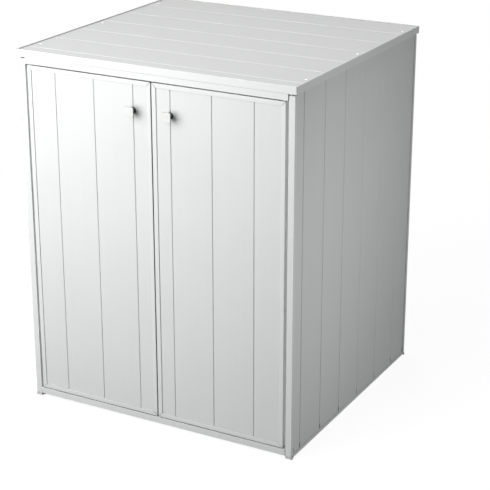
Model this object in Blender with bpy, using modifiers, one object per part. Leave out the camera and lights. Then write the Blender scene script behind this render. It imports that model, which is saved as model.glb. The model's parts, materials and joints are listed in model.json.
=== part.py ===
"""A cabinet that stands around a washing machine: white metal boards in an aluminium frame.

Two doors turn on pins at the front, the lid turns on hinges at the back, and the back and the
bottom are open for the hoses. Units are metres, +X is right, +Y is back and +Z is up. The origin
is under the middle of the whole cabinet, knobs included.
"""
import math

import bmesh
import bpy
from mathutils import Matrix, Vector

# Overall size: the lid is the widest and deepest part of the cabinet
lid_width = 0.770
lid_depth = 0.710
cabinet_height = 0.940

# Fits
seat_gap = 0.0003
overrun = 0.002
flat_tolerance = 0.000001
round_sides = 16
arc_steps = 3

# Boards: hollow, tongue and groove
board_pitch = 0.112
board_thickness = 0.009
board_wall = 0.001
board_chamfer = 0.0012
tongue_length = 0.003
tongue_thickness = 0.0024
chamber_pitch = 0.038
joint_web = 0.005
board_slot_width = 0.0005
mitre_gap = 0.0008

# Lid
lid_edge_height = 0.0186
lid_edge_wall = 0.0016
lid_edge_radius = 0.0012
lid_lip = 0.0025
lid_ledge_width = 0.022
lid_ledge_thickness = 0.0015
first_lid_board = 0.047
stiffener_width = 0.018
stiffener_height = 0.0095
stiffener_wall = 0.0012

# Lid overhangs past the frame
lid_side_overhang = 0.005
lid_front_overhang = 0.0035
lid_rear_overhang = 0.0024

# Corner posts: a block at the corner, two lips that hold the boards, and an inner leg
post_width = 0.0165
post_block_depth = 0.008
post_lip_depth = 0.011
post_leg_depth = 0.020
post_radius = 0.0012
post_top_drop = 0.0045
lip_wall = 0.0012

# Feet
foot_height = 0.007
foot_base_height = 0.0035
foot_overhang = 0.002
foot_front_overhang = 0.0003
foot_flange_width = 0.004
foot_flange_setback = 0.006
foot_radius = 0.0015
spigot_radius = 0.002
spigot_height = 0.006

# Front and rear rails
top_rail_setback = 0.001
bottom_rail_setback = 0.0025
front_rail_web = 0.012
rail_end_gap = 0.0008
top_rail_drop = 0.0161
top_rail_neck_setback = 0.0013
catch_flange_depth = 0.038
catch_flange_wall = 0.002
bottom_rail_clearance = 0.0075
bottom_rail_height = 0.0175
bottom_rail_depth = 0.026
bottom_rail_radius = 0.0015
door_bar_height = 0.008
door_bar_wall = 0.002
door_bar_space = 0.0023
rear_rail_depth = 0.012
rear_top_rail_height = 0.030
rail_radius = 0.0008

# Side rails and panels
side_bottom_rail_clearance = 0.001
side_bottom_rail_height = 0.009
side_top_rail_height = 0.006
side_rail_radius = 0.002
first_side_board = 0.052
side_slot_width = 0.0015

# Drain slots at the bottom of the side panels, at their joints and beside the posts
drain_slot_width = 0.0045
drain_slot_height = 0.0115
drain_slot_depth = 0.004
drain_slot_rise = 0.003

# Doors
door_thickness = 0.020
door_setback = 0.0015
door_gap = 0.0026
door_side_gap = 0.0067
door_meeting_gap = 0.003
door_frame_width = 0.0115
door_frame_radius = 0.0008
door_board_setback = 0.002
door_board_engagement = 0.0025
first_door_board = 0.050

# Door pivots
pivot_depth = 0.008
pin_radius = 0.0025
pin_length = 0.008
collar_radius = 0.005

# Knobs
knob_size = 0.025
knob_plate_thickness = 0.003
knob_projection = 0.021
knob_neck_radius = 0.008
knob_corner_radius = 0.003
knob_edge_radius = 0.0009
knob_drop = 0.0745
knob_screw_radius = 0.0018
knob_screw_length = 0.019
knob_screw_head_radius = 0.0038
knob_screw_head_height = 0.0018

# Door catch and its plates
catch_width = 0.076
catch_height = 0.011
catch_depth = 0.015
magnet_x = 0.020
magnet_slot_width = 0.024
magnet_slot_height = 0.005
magnet_slot_depth = 0.001
strike_width = 0.030
strike_height = 0.0095
strike_thickness = 0.0012

# Lid hinge: one long hinge with an odd number of knuckles
hinge_end_inset = 0.048
hinge_knuckles = 9
hinge_axis_inset = 0.0031
hinge_axis_drop = 0.0036
knuckle_radius = 0.003
hinge_pin_radius = 0.0015
leaf_thickness = 0.0015
frame_leaf_drop = 0.0125

# Places that follow from the sizes above
knob_reach = knob_projection - door_setback - door_board_setback
lid_front = (knob_reach - lid_depth) / 2
lid_back = lid_front + lid_depth
lid_side = lid_width / 2
lid_edge_bottom = cabinet_height - lid_edge_height
lid_board_top = cabinet_height - lid_lip
lid_board_bottom = lid_board_top - board_thickness
ledge_top = lid_board_bottom - seat_gap
ledge_bottom = ledge_top - lid_ledge_thickness
frame_top = ledge_bottom - seat_gap

frame_side = lid_side - lid_side_overhang
frame_front = lid_front + lid_front_overhang
frame_back = lid_back - lid_rear_overhang
post_inner = frame_side - post_width
channel_width = board_thickness + 2 * seat_gap
channel_end = lip_wall + channel_width
side_rail_width = channel_end + lip_wall
post_bottom = foot_height + seat_gap
post_top = lid_edge_bottom - post_top_drop

rail_half = post_inner - rail_end_gap
top_rail_face = lid_front + top_rail_setback
bottom_rail_face = lid_front + bottom_rail_setback
top_rail_top = lid_edge_bottom - seat_gap
top_rail_bottom = top_rail_top - top_rail_drop
bottom_rail_top = bottom_rail_clearance + bottom_rail_height
hinge_half = rail_half - hinge_end_inset
hinge_axis_y = lid_back - hinge_axis_inset
hinge_axis_z = lid_edge_bottom - hinge_axis_drop
rear_rail_face = hinge_axis_y - knuckle_radius - seat_gap
rear_rail_front = rear_rail_face - rear_rail_depth

door_front = lid_front + door_setback
door_back = door_front + door_thickness
door_top = top_rail_bottom - door_gap
door_bottom = bottom_rail_top + door_gap
door_outer = post_inner - door_side_gap
door_inner = door_meeting_gap / 2
door_board_face = door_front + door_board_setback
pivot_x = door_outer - door_frame_width / 2
pivot_y = door_front + pivot_depth
knob_x = door_inner + first_door_board
knob_z = door_top - knob_drop
knob_seat = door_board_face - seat_gap
knob_front = door_board_face - knob_projection

sides = {"left": -1, "right": 1}

X_AXIS = Vector((1, 0, 0))
Y_AXIS = Vector((0, 1, 0))
Z_AXIS = Vector((0, 0, 1))


def clear_scene():
    for old in list(bpy.data.objects):
        bpy.data.objects.remove(old)


def make_collection(name):
    collection = bpy.data.collections.new(name)
    bpy.context.scene.collection.children.link(collection)
    return collection


def make_material(name, colour, roughness, metallic):
    material = bpy.data.materials.new(name)
    material.use_nodes = True
    shader = material.node_tree.nodes["Principled BSDF"]
    shader.inputs["Base Color"].default_value = (*colour, 1)
    shader.inputs["Roughness"].default_value = roughness
    shader.inputs["Metallic"].default_value = metallic
    return material


clear_scene()
parts = make_collection("washing_machine_cabinet")
cutters = make_collection("cutters")
finishes = {
    "white_frame": ((0.86, 0.87, 0.86), 0.38, 0.0),
    "white_board": ((0.82, 0.83, 0.82), 0.42, 0.0),
    "knob_white": ((0.84, 0.84, 0.83), 0.30, 0.0),
    "grey_plastic": ((0.70, 0.71, 0.71), 0.50, 0.0),
    "bright_steel": ((0.62, 0.62, 0.61), 0.30, 1.0),
}


def add_object(name, mesh, finish, matrix=None):
    """Link a mesh as a named part with a material of its own."""
    thing = bpy.data.objects.new(name, mesh)
    thing.matrix_world = matrix or Matrix.Identity(4)
    if finish is None:
        cutters.objects.link(thing)
        thing.display_type = "WIRE"
        thing.hide_render = True
    else:
        parts.objects.link(thing)
        mesh.materials.append(make_material(name + "_finish", *finishes[finish]))
    return thing


def axes_matrix(origin, across, up):
    """A frame at origin whose local X runs along across and local Y along up."""
    along = across.cross(up)
    turn = Matrix((across, up, along)).transposed().to_4x4()
    return Matrix.Translation(origin) @ turn


def outline(corners):
    """Points of a closed outline; a corner (u, v, radius) becomes an arc of arc_steps steps."""
    points = []
    count = len(corners)
    for index, corner in enumerate(corners):
        here = Vector(corner[:2])
        radius = corner[2] if len(corner) > 2 else 0
        if not radius:
            points.append(here)
            continue
        before = (Vector(corners[index - 1][:2]) - here).normalized()
        after = (Vector(corners[(index + 1) % count][:2]) - here).normalized()
        centre = here + (before + after) * radius
        start = -after * radius
        end = -before * radius
        for step in range(arc_steps + 1):
            angle = math.pi / 2 * step / arc_steps
            points.append(centre + start * math.cos(angle) + end * math.sin(angle))
    return points


def box_outline(u_low, v_low, u_high, v_high, radius=0):
    return outline([(u_low, v_low, radius), (u_high, v_low, radius),
                    (u_high, v_high, radius), (u_low, v_high, radius)])


def extruded_mesh(name, loops, length):
    """Closed mesh of flat outlines, holes among them, extruded by length along Z."""
    curve = bpy.data.curves.new(name, "CURVE")
    curve.dimensions = "2D"
    curve.fill_mode = "BOTH"
    curve.extrude = length / 2
    for loop in loops:
        spline = curve.splines.new("POLY")
        spline.points.add(len(loop) - 1)
        for point, place in zip(spline.points, loop):
            point.co = (place[0], place[1], 0, 1)
        spline.use_cyclic_u = True
    guide = bpy.data.objects.new(name + "_guide", curve)
    parts.objects.link(guide)
    bpy.context.view_layer.update()
    evaluated = guide.evaluated_get(bpy.context.evaluated_depsgraph_get())
    mesh = bpy.data.meshes.new_from_object(evaluated)
    mesh.name = name
    mesh.materials.clear()
    bpy.data.objects.remove(guide)
    bpy.data.curves.remove(curve)
    shape = bmesh.new()
    shape.from_mesh(mesh)
    bmesh.ops.remove_doubles(shape, verts=shape.verts, dist=flat_tolerance)
    if len(loops) == 1:
        bmesh.ops.dissolve_limit(shape, angle_limit=math.radians(0.1), verts=shape.verts,
                                 edges=shape.edges)
    bmesh.ops.recalc_face_normals(shape, faces=shape.faces)
    shape.to_mesh(mesh)
    shape.free()
    return mesh


def extrusion(name, loops, origin, across, up, length, finish, mitred=False):
    """Bar with the given outline; a mitred one has ends that slope back from its outer edge."""
    mesh = extruded_mesh(name, loops, length)
    if mitred:
        for vertex in mesh.vertices:
            end = math.copysign(1, vertex.co.z)
            vertex.co.z -= end * (vertex.co.x + mitre_gap / math.sqrt(2))
    return add_object(name, mesh, finish, axes_matrix(origin, across, up))


def solid_box(name, low, high, finish):
    """Box between two corners."""
    low, high = Vector(low), Vector(high)
    shape = bmesh.new()
    bmesh.ops.create_cube(shape, size=1)
    bmesh.ops.scale(shape, vec=high - low, verts=shape.verts)
    mesh = bpy.data.meshes.new(name)
    shape.to_mesh(mesh)
    shape.free()
    return add_object(name, mesh, finish, Matrix.Translation((low + high) / 2))


def rod(name, start, end, radius, finish):
    """Round rod between two points."""
    along = end - start
    turn = Z_AXIS.rotation_difference(along.normalized()).to_matrix().to_4x4()
    shape = bmesh.new()
    bmesh.ops.create_cone(shape, cap_ends=True, segments=round_sides, radius1=radius,
                          radius2=radius, depth=along.length)
    mesh = bpy.data.meshes.new(name)
    shape.to_mesh(mesh)
    shape.free()
    mesh.shade_smooth()
    mesh.set_sharp_from_angle(angle=math.radians(30))
    return add_object(name, mesh, finish, Matrix.Translation((start + end) / 2) @ turn)


def cut(thing, cutter, solver="EXACT"):
    modifier = thing.modifiers.new("cut_" + cutter.name, "BOOLEAN")
    modifier.operation = "DIFFERENCE"
    modifier.solver = solver
    modifier.object = cutter


def applied(thing):
    """Mesh of an object with its modifiers applied."""
    bpy.context.view_layer.update()
    evaluated = thing.evaluated_get(bpy.context.evaluated_depsgraph_get())
    return bpy.data.meshes.new_from_object(evaluated)


def fuse(thing, other):
    """Join another object to this one as one solid, and remove the other."""
    modifier = thing.modifiers.new("join_" + other.name, "BOOLEAN")
    modifier.operation = "UNION"
    modifier.solver = "EXACT"
    modifier.object = other
    mesh = applied(thing)
    thing.modifiers.remove(modifier)
    thing.data = mesh
    bpy.data.objects.remove(other)


def stepped_pin(name, seat, into, head_height, head_radius, length, radius):
    """Screw or pin as one solid: its head stands clear of seat and its shank runs along into."""
    under_head = seat - into * seat_gap
    head = rod(name, under_head - into * head_height, under_head, head_radius, "bright_steel")
    shank = rod(name + "_shank", under_head - into * head_height / 2, seat + into * length, radius,
                None)
    fuse(head, shank)
    return head


def joint_places(first, last, start):
    """Places of the joints between boards that start at first and repeat up to last."""
    places = []
    place = start
    while place < last - board_pitch / 4:
        if place > first:
            places.append(place)
        place += board_pitch
    return places


def chambers(low, high):
    """Outlines of the hollows in a board between low and high along u."""
    count = max(1, round((high - low) / chamber_pitch))
    step = (high - low + board_wall) / count
    return [box_outline(low + index * step, board_wall, low + (index + 1) * step - board_wall,
                        board_thickness - board_wall) for index in range(count)]


def panel_outlines(start, end, joints):
    """Outlines of a panel of joined boards: a V and a slot in its face at each joint, and hollows."""
    corners = [(start, 0)]
    slot_half = side_slot_width / 2
    slot_floor = (board_thickness - tongue_thickness) / 2
    for joint in joints:
        low = joint - slot_half
        high = joint + slot_half
        corners += [(low - board_chamfer, 0), (low, board_chamfer), (low, slot_floor),
                    (high, slot_floor), (high, board_chamfer), (high + board_chamfer, 0)]
    corners += [(end, 0), (end, board_thickness), (start, board_thickness)]
    loops = [outline(corners)]
    lows = [start + board_wall] + [joint + joint_web / 2 for joint in joints]
    highs = [joint - joint_web / 2 for joint in joints] + [end - board_wall]
    for low, high in zip(lows, highs):
        loops += chambers(low, high)
    return loops


def board_outlines(start, end, tongue, groove):
    """Outlines of one hollow board along u, its face at v = 0 and its back at v = board_thickness."""
    middle = board_thickness / 2
    tongue_low = middle - tongue_thickness / 2
    tongue_high = middle + tongue_thickness / 2
    low = start + board_slot_width / 2 if groove else start
    high = end - board_slot_width / 2 if tongue else end
    chamfer_low = board_chamfer if groove else 0
    chamfer_high = board_chamfer if tongue else 0
    corners = [(low + chamfer_low, 0), (high - chamfer_high, 0)]
    if tongue:
        corners += [(high, board_chamfer), (high, tongue_low), (high + tongue_length, tongue_low),
                    (high + tongue_length, tongue_high), (high, tongue_high)]
    corners += [(high, board_thickness), (low, board_thickness)]
    groove_end = low
    if groove:
        groove_end = low + tongue_length + seat_gap
        corners += [(low, tongue_high + seat_gap), (groove_end, tongue_high + seat_gap),
                    (groove_end, tongue_low - seat_gap), (low, tongue_low - seat_gap),
                    (low, board_chamfer)]
    return [outline(corners), *chambers(groove_end + board_wall, high - board_wall)]


def post_outline():
    """u runs inward from the frame's side, v inward from its front or back face."""
    return outline([
        (0, 0, post_radius), (post_width, 0, rail_radius), (post_width, post_leg_depth),
        (side_rail_width + seat_gap, post_leg_depth), (side_rail_width + seat_gap, post_lip_depth),
        (channel_end, post_lip_depth), (channel_end, post_block_depth),
        (lip_wall, post_block_depth), (lip_wall, post_lip_depth), (0, post_lip_depth)])


def build_posts_and_feet():
    height = post_top - post_bottom
    spigot_top = post_bottom + spigot_height
    for end, face, inward in (("front", frame_front, 1), ("rear", frame_back, -1)):
        for side, sign in sides.items():
            corner = Vector((sign * frame_side, face, 0))
            post = extrusion(f"{end}_{side}_post", [post_outline()],
                             corner + Z_AXIS * (post_bottom + height / 2),
                             -sign * X_AXIS, inward * Y_AXIS, height, "white_frame")
            place = corner + Vector((-sign * side_rail_width / 2, inward * post_block_depth / 2, 0))
            hole = rod(f"{end}_{side}_spigot_hole", place + Z_AXIS * (foot_height - overrun),
                       place + Z_AXIS * (spigot_top + seat_gap), spigot_radius + seat_gap, None)
            cut(post, hole)
            build_foot(f"{end}_{side}_foot", corner, sign, inward, place, spigot_top)


def build_foot(name, corner, sign, inward, place, top):
    """Foot cap: a base, a riser flush with the post, a block under its leg and a spigot into it."""
    low_v = -foot_front_overhang
    outlines = {
        "": (outline([(-foot_overhang, low_v, foot_radius), (post_width, low_v),
                      (post_width, post_block_depth), (-foot_overhang, post_block_depth, foot_radius)]),
             0, foot_base_height),
        "_riser": (box_outline(0, 0, post_width, post_block_depth), foot_base_height / 2, foot_height),
        "_leg": (box_outline(side_rail_width + seat_gap, foot_flange_setback,
                             post_width + foot_flange_width, post_leg_depth), seat_gap, foot_height)}
    base, riser, leg = [
        extrusion(name + part, [loop], corner + Z_AXIS * (low + high) / 2, -sign * X_AXIS,
                  inward * Y_AXIS, high - low, None if part else "grey_plastic")
        for part, (loop, low, high) in outlines.items()]
    spigot = rod(name + "_spigot", place + Z_AXIS * foot_base_height / 2, place + Z_AXIS * top,
                 spigot_radius, None)
    for other in (riser, leg, spigot):
        fuse(base, other)


def build_front_and_rear_rails():
    flange_back = top_rail_face + catch_flange_depth
    web_back = top_rail_face + front_rail_web
    neck_face = top_rail_face + top_rail_neck_setback
    front_top = outline([
        (top_rail_face, top_rail_bottom, rail_radius), (flange_back, top_rail_bottom),
        (flange_back, top_rail_bottom + catch_flange_wall),
        (web_back, top_rail_bottom + catch_flange_wall), (web_back, frame_top),
        (neck_face, frame_top), (neck_face, top_rail_top), (top_rail_face, top_rail_top)])
    bar_front = door_back + door_bar_space
    rail_back = bottom_rail_face + bottom_rail_depth
    front_bottom = outline([
        (bottom_rail_face, bottom_rail_clearance, bottom_rail_radius),
        (rail_back, bottom_rail_clearance),
        (rail_back, bottom_rail_top), (bar_front + door_bar_wall, bottom_rail_top),
        (bar_front + door_bar_wall, bottom_rail_top + door_bar_height),
        (bar_front, bottom_rail_top + door_bar_height), (bar_front, bottom_rail_top),
        (bottom_rail_face, bottom_rail_top, bottom_rail_radius)])
    rear_top_bottom = frame_top - rear_top_rail_height
    leaf_bottom = hinge_axis_z - frame_leaf_drop - seat_gap
    rear_top = outline([
        (rear_rail_front, rear_top_bottom), (frame_back - seat_gap, rear_top_bottom),
        (frame_back - seat_gap, leaf_bottom), (rear_rail_face, leaf_bottom),
        (rear_rail_face, frame_top), (rear_rail_front, frame_top)])
    rear_bottom = box_outline(rear_rail_front, bottom_rail_clearance, frame_back - seat_gap,
                              bottom_rail_top)
    for name, loop in (("front_top_rail", front_top), ("front_bottom_rail", front_bottom),
                       ("rear_top_rail", rear_top), ("rear_bottom_rail", rear_bottom)):
        extrusion(name, [loop], Vector(), Y_AXIS, Z_AXIS, 2 * rail_half, "white_frame")


def pin_seats(sign):
    """Where a door's top and bottom pins leave their rails, each with the way to the door."""
    return {"top": (Vector((sign * pivot_x, pivot_y, top_rail_bottom)), -Z_AXIS),
            "bottom": (Vector((sign * pivot_x, pivot_y, bottom_rail_top)), Z_AXIS)}


def build_pins():
    """Pins pressed into the rails; each has a collar that the door turns against."""
    for side, sign in sides.items():
        for end, (seat, to_door) in pin_seats(sign).items():
            name = f"{end}_{side}_pivot_pin"
            pin = stepped_pin(name, seat, -to_door, door_gap - 2 * seat_gap, collar_radius,
                              pin_length, pin_radius)
            fuse(pin, rod(name + "_tip", seat + to_door * door_gap / 2,
                          seat + to_door * (door_gap + pin_length), pin_radius, None))
            cut(bpy.data.objects[f"front_{end}_rail"],
                rod(name + "_hole", seat + to_door * overrun,
                    seat - to_door * (pin_length + seat_gap), pin_radius + seat_gap, None))


def build_sides():
    """Side rails, and the panel of joined boards that stands in them and in the posts."""
    rail_start = frame_front + post_lip_depth + seat_gap
    rail_end = frame_back - post_lip_depth - seat_gap
    first = frame_front + post_block_depth + seat_gap
    last = frame_back - post_block_depth - seat_gap
    joints = joint_places(first, last, lid_front + first_side_board)
    bottom = side_bottom_rail_clearance
    board_low = bottom + lip_wall + seat_gap
    board_high = frame_top - lip_wall - seat_gap
    slot_low = bottom + side_bottom_rail_height + drain_slot_rise
    for side, sign in sides.items():
        for name, low, height, flip in (("bottom", bottom, side_bottom_rail_height, 1),
                                        ("top", frame_top, side_top_rail_height, -1)):
            corners = [(0, 0, side_rail_radius), (side_rail_width, 0), (side_rail_width, height),
                       (channel_end, height), (channel_end, lip_wall), (lip_wall, lip_wall),
                       (lip_wall, height), (0, height, rail_radius)]
            extrusion(f"{side}_{name}_rail", [outline(corners)],
                      Vector((sign * frame_side, (rail_start + rail_end) / 2, low)),
                      -sign * X_AXIS, flip * Z_AXIS, rail_end - rail_start, "white_frame")
        face = sign * (frame_side - lip_wall - seat_gap)
        panel = extrusion(f"{side}_side_panel", panel_outlines(first, last, joints),
                          Vector((face, 0, (board_low + board_high) / 2)), Y_AXIS, -sign * X_AXIS,
                          board_high - board_low, "white_board")
        x_low, x_high = sorted((face + sign * overrun, face - sign * drain_slot_depth))
        half = drain_slot_width / 2
        slot_places = [rail_start + half, *joints, rail_end - half]
        for index, y in enumerate(slot_places):
            slot = solid_box(f"{side}_drain_slot_{index + 1}",
                             (x_low, y - half, slot_low),
                             (x_high, y + half, slot_low + drain_slot_height), None)
            cut(panel, slot, solver="MANIFOLD")


def build_lid():
    corners = [(0, 0), (lid_edge_wall, 0), (lid_edge_wall, ledge_bottom - lid_edge_bottom),
               (lid_ledge_width, ledge_bottom - lid_edge_bottom),
               (lid_ledge_width, ledge_top - lid_edge_bottom),
               (lid_edge_wall, ledge_top - lid_edge_bottom), (lid_edge_wall, lid_edge_height),
               (0, lid_edge_height, lid_edge_radius)]
    middle_y = (lid_front + lid_back) / 2
    bars = {
        "front": (Vector((0, lid_front, lid_edge_bottom)), Y_AXIS, lid_width),
        "rear": (Vector((0, lid_back, lid_edge_bottom)), -Y_AXIS, lid_width),
        "left": (Vector((-lid_side, middle_y, lid_edge_bottom)), X_AXIS, lid_depth),
        "right": (Vector((lid_side, middle_y, lid_edge_bottom)), -X_AXIS, lid_depth)}
    for name, (origin, inward, length) in bars.items():
        extrusion(f"lid_{name}_edge", [outline(corners)], origin, inward, Z_AXIS, length,
                  "white_frame", mitred=True)
    first = lid_front + lid_edge_wall + seat_gap
    last = lid_back - lid_edge_wall - seat_gap
    joints = joint_places(first, last, lid_front + first_lid_board)
    edges = [first, *joints, last]
    for index in range(len(joints) + 1):
        loops = board_outlines(edges[index], edges[index + 1], index < len(joints), index > 0)
        extrusion(f"lid_board_{index + 1}", loops, Vector((0, 0, lid_board_top)), Y_AXIS, -Z_AXIS,
                  2 * (lid_side - lid_edge_wall - seat_gap), "white_board")
    build_stiffener()


def build_stiffener():
    """Tube under the middle of the lid's boards, between the front and rear ledges."""
    start = lid_front + lid_ledge_width + seat_gap
    end = lid_back - lid_ledge_width - seat_gap
    half = stiffener_width / 2
    loops = [box_outline(-half, 0, half, stiffener_height),
             box_outline(stiffener_wall - half, stiffener_wall, half - stiffener_wall,
                         stiffener_height - stiffener_wall)]
    extrusion("lid_stiffener", loops, Vector((0, (start + end) / 2, lid_board_bottom - seat_gap)),
              X_AXIS, -Z_AXIS, end - start, "white_frame")


def build_hinge():
    """Long hinge: knuckles in turn on the frame's leaf and on the lid's leaf, round one pin."""
    low = -hinge_half
    high = hinge_half
    knuckle = (high - low) / hinge_knuckles
    clear = knuckle_radius + seat_gap
    axis_point = Vector((0, hinge_axis_y, hinge_axis_z))
    frame_face = rear_rail_face + seat_gap
    lid_face = lid_back - lid_edge_wall - seat_gap - leaf_thickness
    frame_leaf = solid_box("hinge_frame_leaf", (low, frame_face, hinge_axis_z - frame_leaf_drop),
                           (high, frame_face + leaf_thickness, hinge_axis_z - clear), "bright_steel")
    lid_leaf = solid_box("lid_hinge_leaf", (low, lid_face, hinge_axis_z + clear),
                         (high, lid_face + leaf_thickness, ledge_bottom - seat_gap), "bright_steel")
    for index in range(hinge_knuckles):
        start = low + index * knuckle + (seat_gap / 2 if index else 0)
        end = low + (index + 1) * knuckle - (seat_gap / 2 if index < hinge_knuckles - 1 else 0)
        if index % 2:
            add_knuckle(lid_leaf, start, end, lid_face, clear + overrun)
        else:
            add_knuckle(frame_leaf, start, end, frame_face, -clear - overrun)
    bore = rod("hinge_bore", axis_point + X_AXIS * (low - overrun),
               axis_point + X_AXIS * (high + overrun), hinge_pin_radius + seat_gap, None)
    cut(frame_leaf, bore)
    cut(lid_leaf, bore)
    rod("hinge_pin", axis_point + X_AXIS * low, axis_point + X_AXIS * high, hinge_pin_radius,
        "bright_steel")


def add_knuckle(leaf, start, end, leaf_front, reach):
    """Fuse to a leaf one knuckle from start to end along X, and the neck that reaches it."""
    axis_start = Vector((start, hinge_axis_y, hinge_axis_z))
    axis_end = Vector((end, hinge_axis_y, hinge_axis_z))
    z_low, z_high = sorted((hinge_axis_z, hinge_axis_z + reach))
    neck = solid_box(leaf.name + "_neck", (start, leaf_front, z_low),
                     (end, leaf_front + leaf_thickness, z_high), None)
    fuse(leaf, neck)
    fuse(leaf, rod(leaf.name + "_barrel", axis_start, axis_end, knuckle_radius, None))


def build_door(name, sign):
    """One door: a mitred frame with boards in its grooves, a knob and a strike plate."""
    groove_low = door_board_setback - seat_gap
    groove_high = door_board_setback + board_thickness + seat_gap
    floor = door_frame_width - door_board_engagement - seat_gap
    corners = [(0, 0, door_frame_radius), (door_frame_width, 0, door_frame_radius),
               (door_frame_width, groove_low), (floor, groove_low), (floor, groove_high),
               (door_frame_width, groove_high), (door_frame_width, door_thickness),
               (0, door_thickness, door_frame_radius)]
    middle_x = sign * (door_outer + door_inner) / 2
    middle_z = (door_top + door_bottom) / 2
    width = door_outer - door_inner
    height = door_top - door_bottom
    bars = {
        "hinge_stile": (Vector((sign * door_outer, door_front, middle_z)), -sign * X_AXIS, height),
        "meeting_stile": (Vector((sign * door_inner, door_front, middle_z)), sign * X_AXIS, height),
        "top_rail": (Vector((middle_x, door_front, door_top)), -Z_AXIS, width),
        "bottom_rail": (Vector((middle_x, door_front, door_bottom)), Z_AXIS, width)}
    for part, (origin, inward, length) in bars.items():
        bar = extrusion(f"{name}_{part}", [outline(corners)], origin, inward, Y_AXIS, length,
                        "white_frame", mitred=True)
        for end, (seat, to_door) in pin_seats(sign).items():
            if part in ("hinge_stile", f"{end}_rail"):
                face = seat + to_door * door_gap
                cut(bar, rod(f"{name}_{part}_{end}_hole", face - to_door * overrun,
                             face + to_door * (pin_length + seat_gap), pin_radius + seat_gap, None))
    build_door_boards(name, sign, door_frame_width - door_board_engagement)
    build_knob(name, sign)
    build_strike(name, sign)


def build_door_boards(name, sign, inset):
    """Boards that reach into the grooves of the door's frame, with the knob screw's hole."""
    start = door_inner + inset
    end = door_outer - inset
    low = door_bottom + inset
    high = door_top - inset
    joints = joint_places(start, end, door_inner + first_door_board)
    edges = [start, *joints, end]
    place = Vector((sign * knob_x, door_board_face, knob_z))
    reach = knob_screw_radius + seat_gap + tongue_length
    hole = rod(f"{name}_knob_screw_hole", place - Y_AXIS * overrun,
               place + Y_AXIS * (board_thickness + overrun), knob_screw_radius + seat_gap, None)
    for index in range(len(joints) + 1):
        loops = board_outlines(edges[index], edges[index + 1], index < len(joints), index > 0)
        board = extrusion(f"{name}_board_{index + 1}", loops,
                          Vector((0, door_board_face, (low + high) / 2)), sign * X_AXIS, Y_AXIS,
                          high - low, "white_board")
        if edges[index] - reach < knob_x < edges[index + 1] + reach:
            cut(board, hole)


def build_knob(name, sign):
    """Square knob: a plate with rounded edges on a round neck."""
    plate_back = knob_front + knob_plate_thickness
    half = knob_size / 2
    loop = box_outline(-half, -half, half, half, knob_corner_radius)
    plate = extrusion(f"{name}_knob", [loop], Vector((sign * knob_x, (knob_front + plate_back) / 2,
                                                      knob_z)), X_AXIS, Z_AXIS,
                      knob_plate_thickness, "knob_white")
    bevel = plate.modifiers.new("rounded_edges", "BEVEL")
    bevel.width = knob_edge_radius
    bevel.segments = 2
    bevel.limit_method = "ANGLE"
    bevel.angle_limit = math.radians(60)
    plate.data = applied(plate)
    plate.modifiers.clear()
    seat = Vector((sign * knob_x, knob_seat, knob_z))
    plate_middle = Vector((sign * knob_x, plate_back - knob_plate_thickness / 2, knob_z))
    fuse(plate, rod(name + "_neck", seat, plate_middle, knob_neck_radius, None))
    inner = Vector((sign * knob_x, door_board_face + board_thickness, knob_z))
    cut(plate, rod(f"{name}_knob_bore", inner, inner - Y_AXIS * (knob_screw_length + seat_gap),
                   knob_screw_radius + seat_gap, None))
    stepped_pin(f"{name}_knob_screw", inner, -Y_AXIS, knob_screw_head_height,
                knob_screw_head_radius, knob_screw_length, knob_screw_radius)


def build_strike(name, sign):
    """Steel plate on the back of the door, where the catch's magnet meets it."""
    top = door_top - (door_frame_width - strike_height) / 2
    low_x = magnet_x - strike_width / 2
    corners = sorted((sign * low_x, sign * (low_x + strike_width)))
    front = door_back + seat_gap
    solid_box(f"{name}_strike_plate", (corners[0], front, top - strike_height),
              (corners[1], front + strike_thickness, top), "bright_steel")


def build_catch():
    """Double magnetic catch that hangs from the front top rail's flange behind both doors."""
    front = door_back + strike_thickness + 2 * seat_gap
    top = top_rail_bottom - seat_gap
    middle = top - catch_height / 2
    catch = solid_box("door_catch", (-catch_width / 2, front, top - catch_height),
                      (catch_width / 2, front + catch_depth, top), "grey_plastic")
    for side, sign in sides.items():
        centre = sign * magnet_x
        cut(catch, solid_box(f"{side}_magnet_slot",
                             (centre - magnet_slot_width / 2, front - overrun,
                              middle - magnet_slot_height / 2),
                             (centre + magnet_slot_width / 2, front + magnet_slot_depth,
                              middle + magnet_slot_height / 2), None))


def carry(prefix, axis_place):
    """Parent the pieces whose names start with prefix to an empty on the axis they turn about."""
    pivot = bpy.data.objects.new(prefix + "pivot", None)
    pivot.location = axis_place
    parts.objects.link(pivot)
    bpy.context.view_layer.update()
    for thing in list(parts.objects):
        if thing.type == "MESH" and thing.name.startswith(prefix):
            thing.parent = pivot
            thing.matrix_parent_inverse = pivot.matrix_world.inverted()


build_posts_and_feet()
build_front_and_rear_rails()
build_pins()
build_sides()
build_catch()
for door_side, door_sign in sides.items():
    build_door(f"{door_side}_door", door_sign)
    carry(f"{door_side}_door_", (door_sign * pivot_x, pivot_y, (door_top + door_bottom) / 2))
build_lid()
build_hinge()
carry("lid_", (0, hinge_axis_y, hinge_axis_z))
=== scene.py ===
"""Looks of a washing machine cabinet: white coated metal, a studio floor, soft light and a camera.

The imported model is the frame. Boards and panels keep their shape and get a finish. Bars, feet,
pins and thin plates are replaced by copies with rounded edges, and each knob by a plate on a neck.
The other small fasteners and the catch's magnets are added. Units are metres.
"""
import json
import math

import bmesh
import bpy
from mathutils import Matrix, Vector


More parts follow.
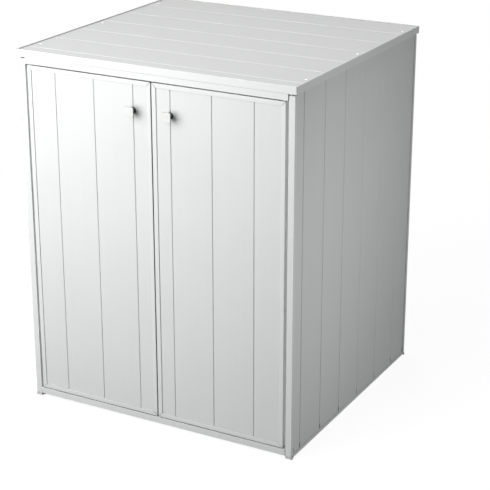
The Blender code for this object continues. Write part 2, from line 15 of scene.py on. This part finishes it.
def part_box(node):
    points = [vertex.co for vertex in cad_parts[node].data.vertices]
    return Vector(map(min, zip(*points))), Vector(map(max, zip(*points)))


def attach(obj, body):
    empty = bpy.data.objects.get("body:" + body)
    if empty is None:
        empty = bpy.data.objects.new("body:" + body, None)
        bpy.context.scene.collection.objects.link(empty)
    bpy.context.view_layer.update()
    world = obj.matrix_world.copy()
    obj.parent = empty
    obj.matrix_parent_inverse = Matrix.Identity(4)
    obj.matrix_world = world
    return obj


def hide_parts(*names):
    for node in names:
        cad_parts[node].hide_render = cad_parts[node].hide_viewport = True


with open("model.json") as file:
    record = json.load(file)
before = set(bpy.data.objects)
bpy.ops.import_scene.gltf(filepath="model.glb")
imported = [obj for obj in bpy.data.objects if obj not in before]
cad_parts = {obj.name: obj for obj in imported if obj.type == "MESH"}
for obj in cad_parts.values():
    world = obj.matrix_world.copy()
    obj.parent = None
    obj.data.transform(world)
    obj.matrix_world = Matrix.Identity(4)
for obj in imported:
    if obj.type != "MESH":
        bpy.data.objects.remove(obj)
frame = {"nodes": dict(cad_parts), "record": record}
nodes = frame["nodes"]
bodies = frame["record"]["behaviour"]["bodies"]
body_of_node = {node: body for body, members in bodies.items() for node in members}
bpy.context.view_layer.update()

Y_AXIS = Vector((0, 1, 0))
Z_AXIS = Vector((0, 0, 1))
sides = {"left": -1, "right": 1}

# Camera, set so that the cabinet's corners fall where the photograph shows them
camera_azimuth = math.radians(28.56)
camera_elevation = math.radians(20.74)
camera_distance = 3.994
camera_target = Vector((0.0649, 0, 0.3916))
camera_lens = 111.4

# Lights
ambient_strength = 0.06
lamps = {
    "key": {"place": (-0.78, -1.72, 1.40), "target": (-0.03, -0.35, 1.28),
            "width": 1.95, "height": 1.95, "energy": 48.0},
    "overhead": {"place": (0, 0, 3.4), "target": (0, 0, 0.9),
                 "width": 2.2, "height": 2.2, "energy": 35.8},
    "right_fill": {"place": (1.25, -0.24, 0.59), "target": (0.38, -0.13, 0.57),
                   "width": 0.6, "height": 0.6, "energy": 3.3},
    "rear_fill": {"place": (-1.5, 2.4, 0.45), "target": (0, 0.36, 0.5),
                  "width": 1.4, "height": 0.7, "energy": 42.0},
}

# Floor, seen as pure white away from the cabinet
white = (1.0, 1.0, 1.0, 1.0)
floor_grey = (0.16, 0.16, 0.16, 1.0)
floor_lift = 0.90
floor_fade = (0.9, 2.0)
floor_half_width = 6

# Shader values: where one noise, or the sum of two, mostly lies, and spans to map onto
noise_span = (0.3, 0.7)
noise_sum_span = (0.7, 1.3)
rising = (0.0, 1.0)
falling = (1.0, 0.0)

# Coated metal
patch_shade = 0.975
dent_depth = 0.0012
dent_strength = 0.12
coat_roughness_change = (-0.05, 0.06)
coat_specular = 0.28
# Painted highlight on edges that tilt away from an upward face: the span of the normal's Z
tilted_edge_span = (0.80, 0.95)

# Painted shade in grooves and corners: darker where less of the surroundings is in sight
dust_grey = (0.26, 0.255, 0.24)
dust_samples = 6
dusty_span = (0.30, 0.85)
side_dust_end = -0.07
dust_fade_length = 0.12
rear_dust_share = 0.2

# Plastic and bare metal
plastic_shades = (0.93, 1.03)
plastic_roughness_change = (-0.06, 0.06)
# Painted shade on the knobs' rims: span of the normal's Y over which it sets in
rim_span = (-0.96, -0.60)
metal_shades = (0.80, 1.08)
metal_roughness_change = (-0.07, 0.09)
drawn_depth = 0.00004

# Edges of the rounded copies; the feet have a step of only 0.3 mm, so theirs are the finest
bar_edge = 0.0005
foot_edge = 0.00014
plate_edge = 0.0002
merge_distance = 0.000001
seam_merge_distance = 0.00001
flat_angle = math.radians(1)
sharp_angle = math.radians(40)
shading_angle = math.radians(50)
rounded_kinds = (
    (("_post", "_rail", "_stile", "_edge", "_stiffener"), bar_edge, "frame_white"),
    (("_foot",), foot_edge, "grey_plastic"),
    (("_catch",), bar_edge, "grey_plastic"),
    (("_pin", "_leaf", "_plate"), plate_edge, "steel"),
)

# Screw heads, shares of the head's radius
head_height_share = 0.44
cross_reach_share = 0.62
cross_half_width_share = 0.13

# Screw heads, shares of the head's height
head_rim_share = 0.28
cross_floor_share = 0.35
cross_top_share = 1.3

# Screw heads, other values
dome_power = 0.6
dome_steps = 7
head_steps = 20
head_shading_angle = math.radians(35)
cross_floor_scale = 0.6
cross_top_scale = 1.1

# Screws: radii, places and how far the crosses are turned, in radians
roof_screw_radius = 0.0030
rail_screw_radius = 0.0026
tiny_screw_radius = 0.0018
roof_screw_x = 0.369
roof_screw_places = (-0.267, 0.012, 0.290)
roof_screw_twist = 0.6
hinge_screw_count = 6
frame_leaf_screw_rise = 0.00364
lid_leaf_screw_drop = 0.0028
lid_leaf_screw_twist = 0.5
leaf_thickness = 0.0015
rail_screw_inset = 0.012
rail_screw_height_shares = {"rear_top_rail": 0.25, "rear_bottom_rail": 0.5}
rail_screw_twist = 0.8
strike_screw_shares = (0.15, 0.85)
knob_screw_head_height = 0.0018
knob_screw_twist = 0.4

# Knobs
knob_plate_thickness = 0.003
knob_corner_radius = 0.003
knob_corner_segments = 5
knob_rim_radius = 0.0010
knob_rim_segments = 3
neck_radius = 0.008
neck_waist = 0.0005
neck_clearance = 0.0002
neck_rings = 8
neck_steps = 40

# Magnets, from just behind the catch's front face, and the screw beside each
magnet_inner_x = 0.0085
magnet_outer_x = 0.0315
magnet_half_height = 0.0022
magnet_front = 0.0003
magnet_back = 0.0009
magnet_edge = 0.0002
catch_screw_x = 0.0348


def add_node(tree, kind, inputs=None, **settings):
    """Add a shader node; an input is a value, or another node's output to link."""
    node = tree.nodes.new(kind)
    for key, value in settings.items():
        setattr(node, key, value)
    for key, value in (inputs or {}).items():
        if isinstance(value, bpy.types.NodeSocket):
            tree.links.new(value, node.inputs[key])
        else:
            node.inputs[key].default_value = value
    return node


def noise(tree, place, scale, detail, roughness=0.5):
    return add_node(tree, "ShaderNodeTexNoise", {"Vector": place, "Scale": scale, "Detail": detail,
                                                 "Roughness": roughness}).outputs["Fac"]


def mapped(tree, value, span, onto):
    """A value of one span, carried over to another."""
    return add_node(tree, "ShaderNodeMapRange", {
        "Value": value, "From Min": span[0], "From Max": span[1], "To Min": onto[0],
        "To Max": onto[1]}).outputs["Result"]


def computed(tree, operation, first, second):
    return add_node(tree, "ShaderNodeMath", {0: first, 1: second}, operation=operation).outputs[0]


def blended(tree, factor, first, second):
    """Colour between two colours; 6, 7 and 2 are the colour sockets of the Mix node."""
    return add_node(tree, "ShaderNodeMix", {"Factor": factor, 6: first, 7: second},
                    data_type="RGBA").outputs[2]


def mixed(tree, factor, first, second):
    """Shader between two shaders."""
    return add_node(tree, "ShaderNodeMixShader", {"Fac": factor, 1: first, 2: second}).outputs[0]


def stretched(tree, place, stretch):
    return add_node(tree, "ShaderNodeMapping", {"Vector": place, "Scale": stretch}).outputs["Vector"]


def along(tree, vector, axis):
    return add_node(tree, "ShaderNodeSeparateXYZ", {"Vector": vector}).outputs[axis]


def coordinate(tree, kind):
    return add_node(tree, "ShaderNodeTexCoord").outputs[kind]


def bumped(tree, height, distance, strength=1.0, finer=None):
    """Normal of a surface with small heights, laid over a finer bump if there is one."""
    inputs = {"Height": height, "Distance": distance, "Strength": strength}
    if finer is not None:
        inputs["Normal"] = finer
    return add_node(tree, "ShaderNodeBump", inputs).outputs["Normal"]


def corner_dust(tree, reach):
    """Mask of painted shade: 1 in tight corners and grooves, 0 on open faces."""
    shade = add_node(tree, "ShaderNodeAmbientOcclusion", {"Distance": reach}, samples=dust_samples)
    return mapped(tree, shade.outputs["AO"], dusty_span, falling)


def shaded(shade, amount=1.0):
    return tuple(channel * amount for channel in shade) + (1.0,)


def start_material(name):
    material = bpy.data.materials.new(name)
    material.use_nodes = True
    tree = material.node_tree
    return material, tree, tree.nodes["Principled BSDF"], coordinate(tree, "Object")


def vary_roughness(tree, shader, pattern, span, roughness, change):
    onto = [roughness + step for step in change]
    tree.links.new(mapped(tree, pattern, span, onto), shader.inputs["Roughness"])


def coated_metal(name, colour, roughness, streaks, dust_amount, dust_reach, peel_scale, peel_height,
                 dust_end=None, edge_colour=None):
    """Coated sheet or profile: faint patches and rolling streaks, orange peel, painted shade in
    corners.

    Towards the back, past the end given, the painted corner shade is fainter. Edges that tilt away
    from an upward face, such as the chamfers of a lid's boards, can get a painted highlight colour.
    """
    material, tree, shader, place = start_material(name)
    patches = noise(tree, place, scale=7, detail=3)
    rolled = noise(tree, stretched(tree, place, streaks), scale=1, detail=4, roughness=0.6)
    both = computed(tree, "ADD", patches, rolled)
    tone = mapped(tree, both, noise_sum_span, rising)
    clean = blended(tree, tone, shaded(colour, patch_shade), shaded(colour))
    # Painted highlight: a lighter colour on chamfers tilted away from the upward faces
    if edge_colour:
        upward = along(tree, coordinate(tree, "Normal"), "Z")
        tilted = mapped(tree, upward, tilted_edge_span, falling)
        clean = blended(tree, tilted, clean, shaded(edge_colour))
    # Painted shade: a darker grey mixed in where ambient occlusion finds corners, grooves and gaps
    dust = computed(tree, "MULTIPLY", corner_dust(tree, dust_reach), dust_amount)
    # Past the end given, the painted corner shade fades towards the back
    if dust_end is not None:
        fade = (dust_end, dust_end + dust_fade_length)
        share = mapped(tree, along(tree, place, "Y"), fade, (1.0, rear_dust_share))
        dust = computed(tree, "MULTIPLY", dust, share)
    tree.links.new(blended(tree, dust, clean, shaded(dust_grey)), shader.inputs["Base Color"])
    vary_roughness(tree, shader, both, noise_sum_span, roughness, coat_roughness_change)
    peel = bumped(tree, noise(tree, place, peel_scale, detail=2), peel_height)
    dents = bumped(tree, patches, dent_depth, dent_strength, finer=peel)
    tree.links.new(dents, shader.inputs["Normal"])
    shader.inputs["Specular IOR Level"].default_value = coat_specular
    return material


def moulded_plastic(name, colour, roughness, grain_scale, grain_height):
    """Moulded plastic with a fine eroded grain."""
    material, tree, shader, place = start_material(name)
    tone = noise(tree, place, scale=60, detail=3)
    darker, lighter = (shaded(colour, amount) for amount in plastic_shades)
    tree.links.new(blended(tree, tone, darker, lighter), shader.inputs["Base Color"])
    vary_roughness(tree, shader, tone, noise_span, roughness, plastic_roughness_change)
    grain = noise(tree, place, grain_scale, detail=3, roughness=0.6)
    tree.links.new(bumped(tree, grain, grain_height), shader.inputs["Normal"])
    return material


def rimmed_plastic(name, colour, rim_colour, roughness, grain_scale, grain_height):
    """Moulded plastic with painted shade on the edges, where the surface turns from the front."""
    material = moulded_plastic(name, colour, roughness, grain_scale, grain_height)
    tree = material.node_tree
    base = tree.nodes["Principled BSDF"].inputs["Base Color"]
    face = base.links[0].from_socket
    # Painted shade: the darker rim colour where the normal turns away from the front
    front = mapped(tree, along(tree, coordinate(tree, "Normal"), "Y"), rim_span, falling)
    tree.links.new(blended(tree, front, shaded(rim_colour), face), base)
    return material


def plain_metal(name, colour, roughness, streaks):
    """Plated or drawn metal with fine streaks along its length."""
    material, tree, shader, place = start_material(name)
    drawn = noise(tree, stretched(tree, place, streaks), scale=1, detail=4, roughness=0.7)
    spots = noise(tree, place, scale=140, detail=3)
    darker, lighter = (shaded(colour, amount) for amount in metal_shades)
    tree.links.new(blended(tree, drawn, darker, lighter), shader.inputs["Base Color"])
    vary_roughness(tree, shader, spots, noise_span, roughness, metal_roughness_change)
    tree.links.new(bumped(tree, drawn, drawn_depth), shader.inputs["Normal"])
    shader.inputs["Metallic"].default_value = 1.0
    return material


finishes = {}


def add_finish(name, make, **values):
    finishes[name] = make(name, **values)


board_colour = (0.803, 0.819, 0.814)
# The amount and reach values set how strong and how wide the painted corner shade is
add_finish("frame_white", coated_metal, colour=(0.834, 0.847, 0.843), roughness=0.40,
           streaks=(3, 3, 3), dust_amount=0.80, dust_reach=0.0065, peel_scale=1500,
           peel_height=0.000022)
# The lid's boards get a painted highlight on their chamfers
add_finish("board_across", coated_metal, colour=(0.809, 0.815, 0.812), roughness=0.44,
           streaks=(0.7, 60, 60), dust_amount=0.06, dust_reach=0.005, peel_scale=1900,
           peel_height=0.000018, edge_colour=(0.95, 0.955, 0.952))
add_finish("board_upright", coated_metal, colour=board_colour, roughness=0.44,
           streaks=(60, 60, 0.7), dust_amount=0.66, dust_reach=0.005, peel_scale=1900,
           peel_height=0.000018)
add_finish("board_side", coated_metal, colour=board_colour, roughness=0.44,
           streaks=(60, 60, 0.7), dust_amount=1.15, dust_reach=0.007, peel_scale=1900,
           peel_height=0.000018, dust_end=side_dust_end)
# The knob plate's darker rim is painted shade
add_finish("knob_white", rimmed_plastic, colour=(0.80, 0.80, 0.79), rim_colour=(0.40, 0.40, 0.395),
           roughness=0.30, grain_scale=2400, grain_height=0.000010)
add_finish("neck_dark", plain_metal, colour=(0.085, 0.085, 0.087), roughness=0.34,
           streaks=(300, 8, 300))
add_finish("grey_plastic", moulded_plastic, colour=(0.70, 0.71, 0.71), roughness=0.50,
           grain_scale=1600, grain_height=0.000030)
add_finish("ferrite", moulded_plastic, colour=(0.035, 0.035, 0.037), roughness=0.55,
           grain_scale=1300, grain_height=0.000040)
add_finish("steel", plain_metal, colour=(0.62, 0.62, 0.61), roughness=0.30, streaks=(8, 300, 300))
add_finish("bright_screw", plain_metal, colour=(0.90, 0.90, 0.89), roughness=0.24,
           streaks=(200, 200, 200))


def dress(thing, finish):
    """Give an object one finish, in every slot of its mesh."""
    if not thing.material_slots:
        thing.data.materials.append(None)
    for holder in thing.material_slots:
        holder.material = finishes[finish]


def add_object(name, data):
    thing = bpy.data.objects.new(name, data)
    bpy.context.scene.collection.objects.link(thing)
    return thing


def add_piece(name, mesh, body, finish):
    thing = add_object(name, mesh)
    dress(thing, finish)
    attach(thing, body)
    return thing


def finished_mesh(name, shape):
    """Mesh of a bmesh that is done with."""
    mesh = bpy.data.meshes.new(name)
    shape.to_mesh(mesh)
    shape.free()
    return mesh


def smooth(thing):
    """Smooth shading that keeps flat faces flat."""
    thing.data.shade_smooth()
    thing.data.set_sharp_from_angle(angle=shading_angle)
    weights = thing.modifiers.new("face_weights", "WEIGHTED_NORMAL")
    weights.keep_sharp = True


def box_shape(low, high):
    """Box between two corners."""
    shape = bmesh.new()
    bmesh.ops.create_cube(shape, size=1)
    bmesh.ops.scale(shape, vec=high - low, verts=shape.verts)
    bmesh.ops.translate(shape, vec=(low + high) / 2, verts=shape.verts)
    return shape


def sharp_edges(shape):
    return [edge for edge in shape.edges
            if len(edge.link_faces) == 2 and edge.calc_face_angle(0) > sharp_angle]


def round_edges(shape, edges, width, segments=2, clamp=True):
    bmesh.ops.bevel(shape, geom=edges, offset=width, offset_type="OFFSET", segments=segments,
                    profile=0.5, affect="EDGES", clamp_overlap=clamp)


def dress_boards():
    for name, node in nodes.items():
        if name.startswith("lid_board_"):
            dress(node, "board_across")
        elif "_door_board_" in name:
            dress(node, "board_upright")
        elif name.endswith("_side_panel"):
            dress(node, "board_side")


def rounded_copy(node, width, finish):
    """Copy of a CAD node with its sharp edges rounded, which stands for the node."""
    name = node + "_rounded"
    shape = bmesh.new()
    shape.from_mesh(nodes[node].data)
    bmesh.ops.remove_doubles(shape, verts=shape.verts, dist=merge_distance)
    bmesh.ops.dissolve_limit(shape, angle_limit=flat_angle, verts=shape.verts, edges=shape.edges)
    round_edges(shape, sharp_edges(shape), width)
    thing = add_piece(name, finished_mesh(name, shape), body_of_node[node], finish)
    smooth(thing)
    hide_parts(node)


def round_bars():
    """Posts, rails, lid edges, door frames, feet, the catch, pins and thin plates."""
    for name in sorted(nodes):
        for endings, width, finish in rounded_kinds:
            if name.endswith(endings):
                rounded_copy(name, width, finish)


def turned_mesh(name, profile, steps):
    """Closed mesh of a profile of radii and heights turned about Z."""
    shape = bmesh.new()
    points = [shape.verts.new((radius, 0, height)) for radius, height in profile]
    edges = [shape.edges.new(pair) for pair in zip(points, points[1:])]
    bmesh.ops.spin(shape, geom=points + edges, axis=Z_AXIS, cent=Vector(), steps=steps,
                   angle=math.tau)
    bmesh.ops.remove_doubles(shape, verts=shape.verts, dist=seam_merge_distance)
    bmesh.ops.recalc_face_normals(shape, faces=shape.faces)
    return finished_mesh(name, shape)


def screw_mesh(name, radius):
    """Domed screw head with a cross recess, its seat at the origin and its top along Z."""
    height = radius * head_height_share
    turns = [math.pi / 2 * step / dome_steps for step in range(dome_steps)]
    dome = [(math.cos(turn) ** dome_power * radius,
             math.sin(turn) * height * (1 - head_rim_share) + height * head_rim_share)
            for turn in turns]
    profile = [(0.0, 0.0), (radius, 0.0), *dome, (0.0, height)]
    head = add_object(name + "_blank", turned_mesh(name, profile, head_steps))
    cross = cross_cutter(name, radius, height)
    modifier = head.modifiers.new("recess", "BOOLEAN")
    modifier.operation = "DIFFERENCE"
    modifier.solver = "EXACT"
    modifier.object = cross
    bpy.context.view_layer.update()
    evaluated = head.evaluated_get(bpy.context.evaluated_depsgraph_get())
    cut = bpy.data.meshes.new_from_object(evaluated)
    bpy.data.objects.remove(head)
    bpy.data.objects.remove(cross)
    cut.shade_smooth()
    cut.set_sharp_from_angle(angle=head_shading_angle)
    return cut


def cross_cutter(name, radius, height):
    """Cross with walls that narrow towards its bottom."""
    reach = radius * cross_reach_share
    half = radius * cross_half_width_share
    low = height * cross_floor_share
    high = height * cross_top_share
    corners = []
    for quarter in range(4):
        turn = Matrix.Rotation(math.pi / 2 * quarter, 2)
        corners += [turn @ Vector(point) for point in ((half, -half), (reach, -half), (reach, half))]
    shape = bmesh.new()
    bottom = [shape.verts.new((*(corner * cross_floor_scale), low)) for corner in corners]
    top = [shape.verts.new((*(corner * cross_top_scale), high)) for corner in corners]
    shape.faces.new(top)
    shape.faces.new(bottom[::-1])
    for index, point in enumerate(bottom):
        after = (index + 1) % len(bottom)
        shape.faces.new((point, bottom[after], top[after], top[index]))
    bmesh.ops.recalc_face_normals(shape, faces=shape.faces)
    return add_object(name + "_cross", finished_mesh(name + "_cross", shape))


def add_screw(name, mesh, place, facing, body, turn, finish="steel"):
    """Screw head at place, its top facing along facing and its cross turned by turn."""
    screw = add_piece(name, mesh.copy(), body, finish)
    spin = Matrix.Rotation(turn, 4, "Z")
    aim = Z_AXIS.rotation_difference(facing).to_matrix().to_4x4()
    screw.matrix_world = Matrix.Translation(place) @ aim @ spin
    return screw


def add_roof_screws():
    mesh = screw_mesh("roof_screw", roof_screw_radius)
    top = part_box("lid_board_2")[1].z
    for side, sign in sides.items():
        for index, y in enumerate(roof_screw_places):
            add_screw(f"roof_{side}_screw_{index + 1}", mesh, Vector((sign * roof_screw_x, y, top)),
                      Z_AXIS, "lid", turn=roof_screw_twist * index + sign, finish="bright_screw")


def add_hinge_screws():
    """Screws of the hinge: the frame's leaf is screwed from behind, the lid's leaf from inside."""
    mesh = screw_mesh("hinge_screw", tiny_screw_radius)
    frame_low, frame_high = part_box("hinge_frame_leaf")
    lid_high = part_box("lid_hinge_leaf")[1]
    frame_y = frame_low.y + leaf_thickness
    frame_z = frame_low.z + frame_leaf_screw_rise
    lid_y = lid_high.y - leaf_thickness
    lid_z = lid_high.z - lid_leaf_screw_drop
    for index in range(hinge_screw_count):
        x = frame_low.x + (frame_high.x - frame_low.x) * (index + 0.5) / hinge_screw_count
        add_screw(f"frame_hinge_screw_{index + 1}", mesh, Vector((x, frame_y, frame_z)), Y_AXIS,
                  "frame", turn=index)
        add_screw(f"lid_hinge_screw_{index + 1}", mesh, Vector((x, lid_y, lid_z)), -Y_AXIS, "lid",
                  turn=index + lid_leaf_screw_twist)


def add_rail_screws():
    """Screws at the ends of the rear rails."""
    mesh = screw_mesh("rail_screw", rail_screw_radius)
    for name, share in rail_screw_height_shares.items():
        low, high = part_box(name)
        z = low.z + (high.z - low.z) * share
        for side, sign in sides.items():
            x = (high.x if sign > 0 else low.x) - sign * rail_screw_inset
            add_screw(f"{name}_{side}_screw", mesh, Vector((x, high.y, z)), Y_AXIS, "frame",
                      turn=sign * rail_screw_twist + low.z)


def add_strike_screws():
    mesh = screw_mesh("strike_screw", tiny_screw_radius)
    for side in sides:
        low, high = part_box(f"{side}_door_strike_plate")
        for index, share in enumerate(strike_screw_shares):
            x = low.x + (high.x - low.x) * share
            add_screw(f"{side}_strike_screw_{index + 1}", mesh,
                      Vector((x, high.y, (low.z + high.z) / 2)), Y_AXIS, f"{side}_door", turn=index)


def build_knobs():
    """Square knobs: a white plate with soft edges on a dark neck, and the screw behind the door."""
    for side in sides:
        node = f"{side}_door_knob"
        body = f"{side}_door"
        low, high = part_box(node)
        middle = (low + high) / 2
        plate_back = low.y + knob_plate_thickness
        plate = knob_plate(node + "_plate", low, Vector((high.x, plate_back, high.z)))
        plate_piece = add_piece(node + "_plate", plate, body, "knob_white")
        smooth(plate_piece)
        neck = turned_mesh(node + "_neck", neck_profile(high.y - plate_back - neck_clearance),
                           neck_steps)
        neck_piece = add_piece(node + "_neck", neck, body, "neck_dark")
        neck_piece.matrix_world = (Matrix.Translation((middle.x, high.y, middle.z))
                                   @ Matrix.Rotation(math.pi / 2, 4, "X"))
        smooth(neck_piece)
        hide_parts(node)
        screw = f"{side}_door_knob_screw"
        screw_low, screw_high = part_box(screw)
        mesh = screw_mesh(screw, (screw_high.x - screw_low.x) / 2)
        seat = Vector((middle.x, screw_high.y - knob_screw_head_height, middle.z))
        head = add_screw(screw + "_head", mesh, seat, Y_AXIS, body, turn=knob_screw_twist)
        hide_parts(screw)


def knob_plate(name, low, high):
    """Square plate with round corners and soft front and back edges."""
    shape = box_shape(low, high)
    corners = [edge for edge in shape.edges
               if abs(edge.verts[0].co.y - edge.verts[1].co.y) > merge_distance]
    round_edges(shape, corners, knob_corner_radius, knob_corner_segments, clamp=False)
    round_edges(shape, sharp_edges(shape), knob_rim_radius, knob_rim_segments, clamp=False)
    return finished_mesh(name, shape)


def neck_profile(length):
    """Radii and heights of a neck with a shallow waist."""
    rings = [(neck_radius - neck_waist * math.sin(math.pi * ring / neck_rings),
              length * ring / neck_rings) for ring in range(neck_rings + 1)]
    return [(0.0, 0.0), *rings, (0.0, length)]


def add_magnets():
    """A magnet in each slot of the catch, and the catch's two screws."""
    low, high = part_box("door_catch")
    middle = (low + high) / 2
    mesh = screw_mesh("catch_screw", tiny_screw_radius)
    for side, sign in sides.items():
        x = sorted((sign * magnet_inner_x, sign * magnet_outer_x))
        shape = box_shape(Vector((x[0], low.y + magnet_front, middle.z - magnet_half_height)),
                          Vector((x[1], low.y + magnet_back, middle.z + magnet_half_height)))
        round_edges(shape, sharp_edges(shape), magnet_edge)
        name = f"{side}_magnet"
        smooth(add_piece(name, finished_mesh(name, shape), "frame", "ferrite"))
        add_screw(f"{side}_catch_screw", mesh, Vector((sign * catch_screw_x, middle.y, low.z)),
                  -Z_AXIS, "frame", turn=sign)


def stage_material(name):
    """Grey floor that the camera and reflections see as nearly white, with the object's shadow."""
    material = bpy.data.materials.new(name)
    material.use_nodes = True
    tree = material.node_tree
    tree.nodes.remove(tree.nodes["Principled BSDF"])
    place = coordinate(tree, "Object")
    reach = add_node(tree, "ShaderNodeVectorMath", {0: place}, operation="LENGTH").outputs["Value"]
    far = mapped(tree, reach, floor_fade, rising)
    matte = add_node(tree, "ShaderNodeBsdfDiffuse", {"Color": floor_grey}).outputs[0]
    lift = add_node(tree, "ShaderNodeEmission", {"Color": white, "Strength": floor_lift}).outputs[0]
    full = add_node(tree, "ShaderNodeEmission", {"Color": white, "Strength": 1.0}).outputs[0]
    near = add_node(tree, "ShaderNodeAddShader", {0: matte, 1: lift}).outputs[0]
    final = mixed(tree, seen_directly(tree), matte, mixed(tree, far, near, full))
    tree.links.new(final, tree.nodes["Material Output"].inputs["Surface"])
    return material


def seen_directly(tree):
    """1 for rays from the camera, from a reflection or through glass."""
    path = add_node(tree, "ShaderNodeLightPath").outputs
    first = computed(tree, "MAXIMUM", path["Is Camera Ray"], path["Is Glossy Ray"])
    return computed(tree, "MAXIMUM", first, path["Is Transmission Ray"])


def build_stage():
    shape = bmesh.new()
    bmesh.ops.create_grid(shape, x_segments=1, y_segments=1, size=floor_half_width)
    mesh = finished_mesh("studio_floor", shape)
    mesh.materials.append(stage_material("floor_white"))
    floor = add_object("studio_floor", mesh)


def build_world():
    """Faint light from all around, behind a background that is seen as white."""
    world = bpy.data.worlds.new("studio")
    world.use_nodes = True
    bpy.context.scene.world = world
    tree = world.node_tree
    tree.nodes.remove(tree.nodes["Background"])
    soft, bright = (add_node(tree, "ShaderNodeBackground", {"Color": white, "Strength": strength})
                    for strength in (ambient_strength, 1.0))
    mix = mixed(tree, seen_directly(tree), soft.outputs[0], bright.outputs[0])
    tree.links.new(mix, tree.nodes["World Output"].inputs["Surface"])


def add_light(name, place, target, width, height, energy):
    lamp = bpy.data.lights.new(name, "AREA")
    lamp.shape = "RECTANGLE"
    lamp.size = width
    lamp.size_y = height
    lamp.energy = energy
    light = add_object(name, lamp)
    light.visible_camera = False
    light.location = place
    light.rotation_euler = (Vector(target) - Vector(place)).to_track_quat("-Z", "Y").to_euler()


def build_camera():
    camera = bpy.data.cameras.new("photo_camera")
    camera.lens = camera_lens
    holder = add_object("photo_camera", camera)
    away = Vector((math.sin(camera_azimuth) * math.cos(camera_elevation),
                   -math.cos(camera_azimuth) * math.cos(camera_elevation),
                   math.sin(camera_elevation)))
    holder.location = camera_target + away * camera_distance
    holder.rotation_euler = (-away).to_track_quat("-Z", "Y").to_euler()
    bpy.context.scene.camera = holder


dress_boards()
round_bars()
build_knobs()
add_roof_screws()
add_hinge_screws()
add_rail_screws()
add_strike_screws()
add_magnets()
build_stage()
build_world()
for name, values in lamps.items():
    add_light(name, **values)
build_camera()
bpy.context.scene.view_settings.view_transform = "Standard"
